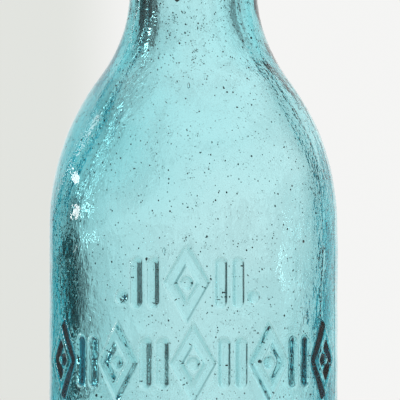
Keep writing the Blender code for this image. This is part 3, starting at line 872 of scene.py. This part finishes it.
def make_spindle(finish):
    """Stem with an eye round the bail's bar and a headed foot under the washer."""
    eye_radius = BAIL_WIRE_RADIUS + GAP + EYE_WIRE_RADIUS
    foot = WASHER_FOOT - GAP
    head = arc((0.0, foot), RIVET_RADIUS, -QUARTER, 0.0, 10, rise=RIVET_HEIGHT)
    stem_top = -eye_radius - 0.6 * MM
    stem = resample(np.array([[STEM_RADIUS, foot + RIVET_NECK], [STEM_RADIUS, stem_top - 2 * MM]]), 0.8 * MM)
    root = [(STEM_RADIUS * 0.98, stem_top - 1.2 * MM), (STEM_RADIUS * 0.85, stem_top)]
    top = [(STEM_RADIUS * 0.6, -eye_radius), (0.0, -eye_radius + 0.1 * MM)]
    profile = np.concatenate([head, [(STEM_RADIUS + RIVET_NECK, foot)], stem, root, top])
    shells = [turned_solid(profile, 32), torus((0.0, 0.0, 0.0), eye_radius, EYE_WIRE_RADIUS, 64, 20)]
    return stopper_piece("spindle_wire", shells, finish)


def put(tree, sockets, values):
    """Set inputs to values, or join them to other nodes' outputs."""
    for name, value in values.items():
        if isinstance(value, bpy.types.NodeSocket):
            tree.links.new(value, sockets[name])
        else:
            sockets[name].default_value = value


def node(tree, kind, values=None, output=0, **settings):
    """Add a node with its settings and inputs, and give one of its outputs."""
    made = tree.nodes.new("ShaderNode" + kind)
    for name, value in settings.items():
        setattr(made, name, value)
    put(tree, made.inputs, values or {})
    return made.outputs[output]


def calc(tree, operation, first, second=0.0, third=0.0):
    """One sum on up to three numbers."""
    return node(tree, "Math", {0: first, 1: second, 2: third}, operation=operation)


def line(tree, value, low, high, first=0.0, last=1.0, **settings):
    """A straight line from first at low to last at high, and level beyond them."""
    values = {"Value": value, "From Min": low, "From Max": high, "To Min": first, "To Max": last}
    return node(tree, "MapRange", values, **settings)


def step(tree, value, low, high):
    """0 below low, 1 above high, and an S between; the other way round where high is the lower."""
    return line(tree, value, low, high, interpolation_type="SMOOTHSTEP")


def fade(tree, angle, ends):
    """0 at the first end and 1 at the second, both in degrees, and an S between."""
    return step(tree, angle, ends[0] * DEG, ends[1] * DEG)


def mix(tree, share, first, second):
    """The first colour where the share is 0, and the second where it is 1."""
    return node(tree, "MixRGB", {"Fac": share, "Color1": first, "Color2": second})


def ramp(tree, share, stops):
    """Colours over a number from 0 to 1, eased from one (position, colour) stop to the next."""
    colours = node(tree, "ValToRGB", {"Fac": share})
    colours.node.color_ramp.interpolation = "EASE"
    elements = colours.node.color_ramp.elements
    elements.remove(elements[-1])
    elements[0].position, elements[0].color = stops[0][0], (*stops[0][1], 1)
    for position, colour in stops[1:]:
        elements.new(position).color = (*colour, 1)
    return colours


def object_coords(tree):
    """Object coordinates, in metres."""
    return node(tree, "TexCoord", output="Object")


def noise(tree, scale, detail, roughness=0.5, stretch=(1, 1, 1), distortion=0.0):
    """Noise on Object coordinates, squeezed by stretch, as a number about a half."""
    spot = node(tree, "Mapping", {"Vector": object_coords(tree), "Scale": stretch})
    values = {"Vector": spot, "Scale": scale, "Detail": detail, "Roughness": roughness, "Distortion": distortion}
    return node(tree, "TexNoise", values, output="Fac")


def bump(tree, height, distance, after=None):
    """A bumped normal from a height, on top of another bump."""
    values = {"Height": height, "Distance": distance}
    return node(tree, "Bump", values if after is None else {**values, "Normal": after})


def finish_of(name):
    """A new material, its node tree and the inputs of its Principled shader."""
    made = bpy.data.materials.new(name)
    made.use_nodes = True
    return made, made.node_tree, made.node_tree.nodes["Principled BSDF"].inputs


def aqua_glass():
    """Aqua glass: clear at its uneven skin, and darker the further light goes through it."""
    made, tree, surface = finish_of("aqua_glass")
    share = node(tree, "Attribute", attribute_name="grain_share", output="Fac")
    broad = bump(tree, noise(tree, SKIN_BROAD[0], 2.0, stretch=(1, 1, 0.6)), SKIN_BROAD[1])
    ripple = bump(tree, noise(tree, SKIN_RIPPLE[0], 2.0, stretch=(1, 1, 0.6)), SKIN_RIPPLE[1], broad)
    grain = calc(tree, "MULTIPLY", noise(tree, SKIN_GRAIN[0], 1.0, stretch=(1, 1, 0.7)), share)
    skin_normal = bump(tree, grain, SKIN_GRAIN[1], ripple)
    put(tree, surface, {**CLEAR, "Roughness": 0.0, "IOR": GLASS_BEND, "Normal": skin_normal})
    depth = node(tree, "VolumeAbsorption", {"Color": GLASS_COLOUR, "Density": GLASS_DENSITY})
    put(tree, tree.nodes["Material Output"].inputs, {"Volume": depth})
    return made


def seed_painted_shade():
    """Painted shade for the tiny seeds: a dark teal that stands in for the dark look light gives each clear air seed,
    lighter in a patch here and there.
    """
    made, tree, surface = finish_of("seed_painted_shade")
    patches = ramp(tree, noise(tree, 90.0, 1.0), [(0.3, (0.0, 0.03, 0.035)), (0.75, (0.02, 0.16, 0.17))])
    put(tree, surface, {"Base Color": patches, "Roughness": 0.3})
    return made


def bubble_clear():
    """Clear skin of the larger bubbles."""
    made, tree, surface = finish_of("bubble_clear")
    skin_normal = bump(tree, noise(tree, 900.0, 1.0), 0.002 * MM)
    put(tree, surface, {**CLEAR, "Roughness": 0.02, "IOR": BUBBLE_BEND, "Normal": skin_normal})
    return made


def worn_metal(name, bright, dull, spots, spot_share, scratch, rough):
    """Old metal: bright to dull in clouds, spots of oxide, fine marks, and roughness that follows them."""
    made, tree, surface = finish_of(name)
    clouds = noise(tree, 260.0, 4.0, 0.6)
    spotted = noise(tree, 620.0, 5.0, 0.65, distortion=0.4)
    marks = noise(tree, 900.0, 2.0, stretch=scratch)
    oxide = step(tree, spotted, 0.72 - spot_share, 0.80 - spot_share)
    covered = calc(tree, "MULTIPLY", oxide, 0.8)
    wear = calc(tree, "MULTIPLY_ADD", marks, 0.25, rough - 0.12)
    body = ramp(tree, clouds, [(0.32, dull), (0.68, bright)])
    skin_normal = bump(tree, spotted, 0.03 * MM, bump(tree, marks, 0.012 * MM))
    put(tree, surface, {"Base Color": mix(tree, oxide, body, (*spots, 1)), "Normal": skin_normal})
    metal, rough = calc(tree, "SUBTRACT", 1.0, covered), calc(tree, "MAXIMUM", wear, covered)
    put(tree, surface, {"Metallic": metal, "Roughness": rough})
    return made


def old_rubber():
    """Aged red rubber: dull, faded and lighter in clouds, with fine cracks."""
    made, tree, surface = finish_of("old_red_rubber")
    clouds = noise(tree, 170.0, 4.0, 0.6)
    body = ramp(tree, clouds, [(0.3, (0.12, 0.025, 0.018)), (0.55, (0.22, 0.05, 0.035)), (0.75, (0.34, 0.12, 0.09))])
    cells = node(tree, "TexVoronoi", {"Vector": object_coords(tree), "Scale": 620.0}, feature="DISTANCE_TO_EDGE")
    crack = step(tree, cells, 0.05, 0.0)
    thin = calc(tree, "MULTIPLY", crack, step(tree, noise(tree, 240.0, 2.0), 0.5, 0.62))
    grain = bump(tree, noise(tree, 2600.0, 2.0), 0.015 * MM)
    skin_normal = bump(tree, calc(tree, "SUBTRACT", 1.0, thin), 0.05 * MM, grain)
    colour = mix(tree, thin, body, (0.05, 0.012, 0.01, 1))
    put(tree, surface, {"Base Color": colour, "Roughness": 0.72, "Normal": skin_normal})
    return made


def floor_finish():
    """Pale matt floor that fades out towards its edge, so that no edge shows."""
    made, tree, surface = finish_of("studio_floor")
    tint = ramp(tree, noise(tree, 6.0, 2.0), [(0.3, (0.80, 0.80, 0.79)), (0.7, (0.83, 0.83, 0.82))])
    away = node(tree, "VectorMath", {0: object_coords(tree)}, output="Value", operation="LENGTH")
    fade = step(tree, away, FLOOR_RADIUS, FLOOR_FADE_SHARE * FLOOR_RADIUS)
    put(tree, surface, {"Base Color": tint, "Roughness": 0.8, "Alpha": fade})
    return made


def stand(made, body, stands_for):
    """Let a piece ride on its body, in place of a CAD node when one is given."""
    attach(made, body)
    if stands_for:
        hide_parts(stands_for)


def make_floor():
    """A flat round floor: rings of points, even in radius."""
    reach = np.linspace(0.0, FLOOR_RADIUS, FLOOR_RINGS + 1)[1:]
    level = np.full(FLOOR_RINGS, -FLOOR_GAP)
    points = np.concatenate([[[0.0, 0.0, -FLOOR_GAP]], rings(np.stack([reach, level], 1), FLOOR_COLUMNS)])
    faces = [fan(0, 1, FLOOR_COLUMNS)[:, ::-1], grid(1, FLOOR_RINGS, FLOOR_COLUMNS)[:, ::-1]]
    mesh_object("floor", [(points, faces)], floor_finish())


def daylight(brightness):
    """The room's light at a brightness, a touch warm as daylight in a white room is."""
    share = brightness / LIGHT_PEAK
    return (share, share, DAYLIGHT_BLUE * share)


def wall_light(tree, azimuth, table):
    """Colour of walls all round, from a table of (azimuth in degrees, brightness)."""
    share = line(tree, azimuth, -math.pi, math.pi)
    return ramp(tree, share, [((at + 180) / 360, daylight(brightness)) for at, brightness in table])


def off_from(tree, value, middle):
    """How far a number is from a middle, either way."""
    return calc(tree, "ABSOLUTE", calc(tree, "SUBTRACT", value, middle))


def lamp(tree, lit, brightness, *fades):
    """A light laid over the room where all its fades, each an angle and its ends in degrees, are 1."""
    share = 1.0
    for angle, ends in fades:
        share = calc(tree, "MULTIPLY", share, fade(tree, angle, ends))
    return mix(tree, share, lit, (*daylight(brightness), 1))


def lit_room(tree):
    """Colour of the room's light by direction: walls in three heights, cloudy patches, a ceiling and the lights."""
    direction = node(tree, "TexCoord", output="Generated")
    x, y, z = node(tree, "SeparateXYZ", {0: direction}).node.outputs
    azimuth, rise = calc(tree, "ARCTAN2", x, y), calc(tree, "ARCSINE", z)
    lean = calc(tree, "MULTIPLY", fade(tree, rise, LEAN_BELOW), fade(tree, rise, LEAN_ABOVE))
    level = wall_light(tree, calc(tree, "MULTIPLY_ADD", lean, LEAN, azimuth), LEVEL_LIGHT)
    above = calc(tree, "SUBTRACT", rise, line(tree, azimuth, *DARK_TURN, *DARK_TOP))
    walls = mix(tree, step(tree, above, -DARK_SOFT, DARK_SOFT), level, wall_light(tree, azimuth, UPPER_LIGHT))
    walls = mix(tree, fade(tree, rise, HIGH_RISE), walls, wall_light(tree, azimuth, HIGH_LIGHT))
    patches = node(tree, "TexNoise", {"Vector": direction, "Scale": PATCH_SCALE, "Detail": 1.0}, output="Fac")
    dim = calc(tree, "MULTIPLY", step(tree, patches, *PATCH_RANGE), PATCH_DEPTH)
    walls = mix(tree, dim, walls, (0, 0, 0, 1))
    lit = lamp(tree, walls, CEILING_LIGHT, (rise, CEILING_RISE))
    for middle, sides, foot, head, brightness in SOFT_LIGHTS:
        off = off_from(tree, azimuth, middle * DEG)
        lit = lamp(tree, lit, brightness, (off, sides), (rise, foot), (rise, head))
    bent = TUBE[0][1] * DEG
    for (low, start), (high, end) in zip(TUBE, TUBE[1:]):
        bent = calc(tree, "ADD", line(tree, rise, low * DEG, high * DEG, 0.0, (end - start) * DEG), bent)
    off = off_from(tree, azimuth, bent)
    return azimuth, lamp(tree, lit, TUBE_LIGHT, *zip((off, rise, rise), TUBE_FADES))


def make_room():
    """Soft studio light as a room of pale and dark walls; the camera itself sees a plain backdrop."""
    room = bpy.data.worlds.new("studio")
    scene.world = room
    room.use_nodes = True
    tree = room.node_tree
    azimuth, lit = lit_room(tree)
    light = tree.nodes["Background"]
    put(tree, light.inputs, {"Color": lit, "Strength": LIGHT_PEAK})
    right = calc(tree, "MULTIPLY", fade(tree, azimuth, BACKDROP_TURN), fade(tree, azimuth, BACKDROP_FADE))
    colour = mix(tree, right, BACKDROP_LEFT, BACKDROP_RIGHT)
    backdrop = node(tree, "Background", {"Color": colour, "Strength": 1.0})
    seen = node(tree, "LightPath", output="Is Camera Ray")
    both = node(tree, "MixShader", {0: seen, 1: light.outputs[0], 2: backdrop})
    put(tree, tree.nodes["World Output"].inputs, {"Surface": both})


def make_camera():
    """A camera level with the middle of the picture, as far off as in the photograph."""
    camera = bpy.data.objects.new("camera", bpy.data.cameras.new("camera"))
    camera.data.lens = camera.data.sensor_width * VIEW_DISTANCE / VIEW_WIDTH
    camera.location = (VIEW_ACROSS, -VIEW_DISTANCE, VIEW_HEIGHT)
    camera.rotation_euler = (QUARTER, 0.0, 0.0)
    scene.collection.objects.link(camera)
    scene.camera = camera


make_camera()
make_room()
make_floor()

stand(make_glass(aqua_glass()), "bottle_body", "bottle")
# The tiny seeds are drawn in a dark teal that is painted shade, not a colour of their own.
stand(scatter("glass_seeds", seed_painted_shade(), *SEEDS), "bottle_body", None)
stand(scatter("glass_bubbles", bubble_clear(), *BUBBLES), "bottle_body", None)

iron = worn_metal("rusted_iron", (0.20, 0.17, 0.145), (0.09, 0.07, 0.055), (0.14, 0.055, 0.025), 0.22, (1, 1, 0.3), 0.5)
tinned = worn_metal("tinned_wire", (0.55, 0.54, 0.51), (0.28, 0.26, 0.23), (0.17, 0.08, 0.04), 0.10, (0.2, 1, 1), 0.36)
pewter = worn_metal("pewter_cap", (0.50, 0.49, 0.46), (0.27, 0.26, 0.25), (0.40, 0.39, 0.37), 0.12, (1, 0.15, 1), 0.38)
brass = worn_metal("dull_brass", (0.55, 0.44, 0.24), (0.24, 0.18, 0.10), (0.10, 0.16, 0.12), 0.12, (1, 0.3, 1), 0.40)
steel = worn_metal("spindle_steel", (0.44, 0.42, 0.39), (0.22, 0.20, 0.18), (0.15, 0.07, 0.04), 0.12, (1, 1, 0.3), 0.40)

stand(make_tie_wire(iron), "bottle_body", "tie_wire")
stand(make_lever(tinned), "lever_body", "lever")
stand(make_bail(tinned), "bail_body", "bail")
stand(make_cap(pewter), "stopper_body", "stopper_cap")
stand(make_plug(old_rubber()), "stopper_body", "rubber_plug")
stand(make_washer(brass), "stopper_body", "foot_washer")
stand(make_spindle(steel), "stopper_body", "stopper_spindle")

scene.view_settings.view_transform = "Standard"
scene.cycles.max_bounces = 24
scene.cycles.transmission_bounces = 24
scene.cycles.glossy_bounces = 12
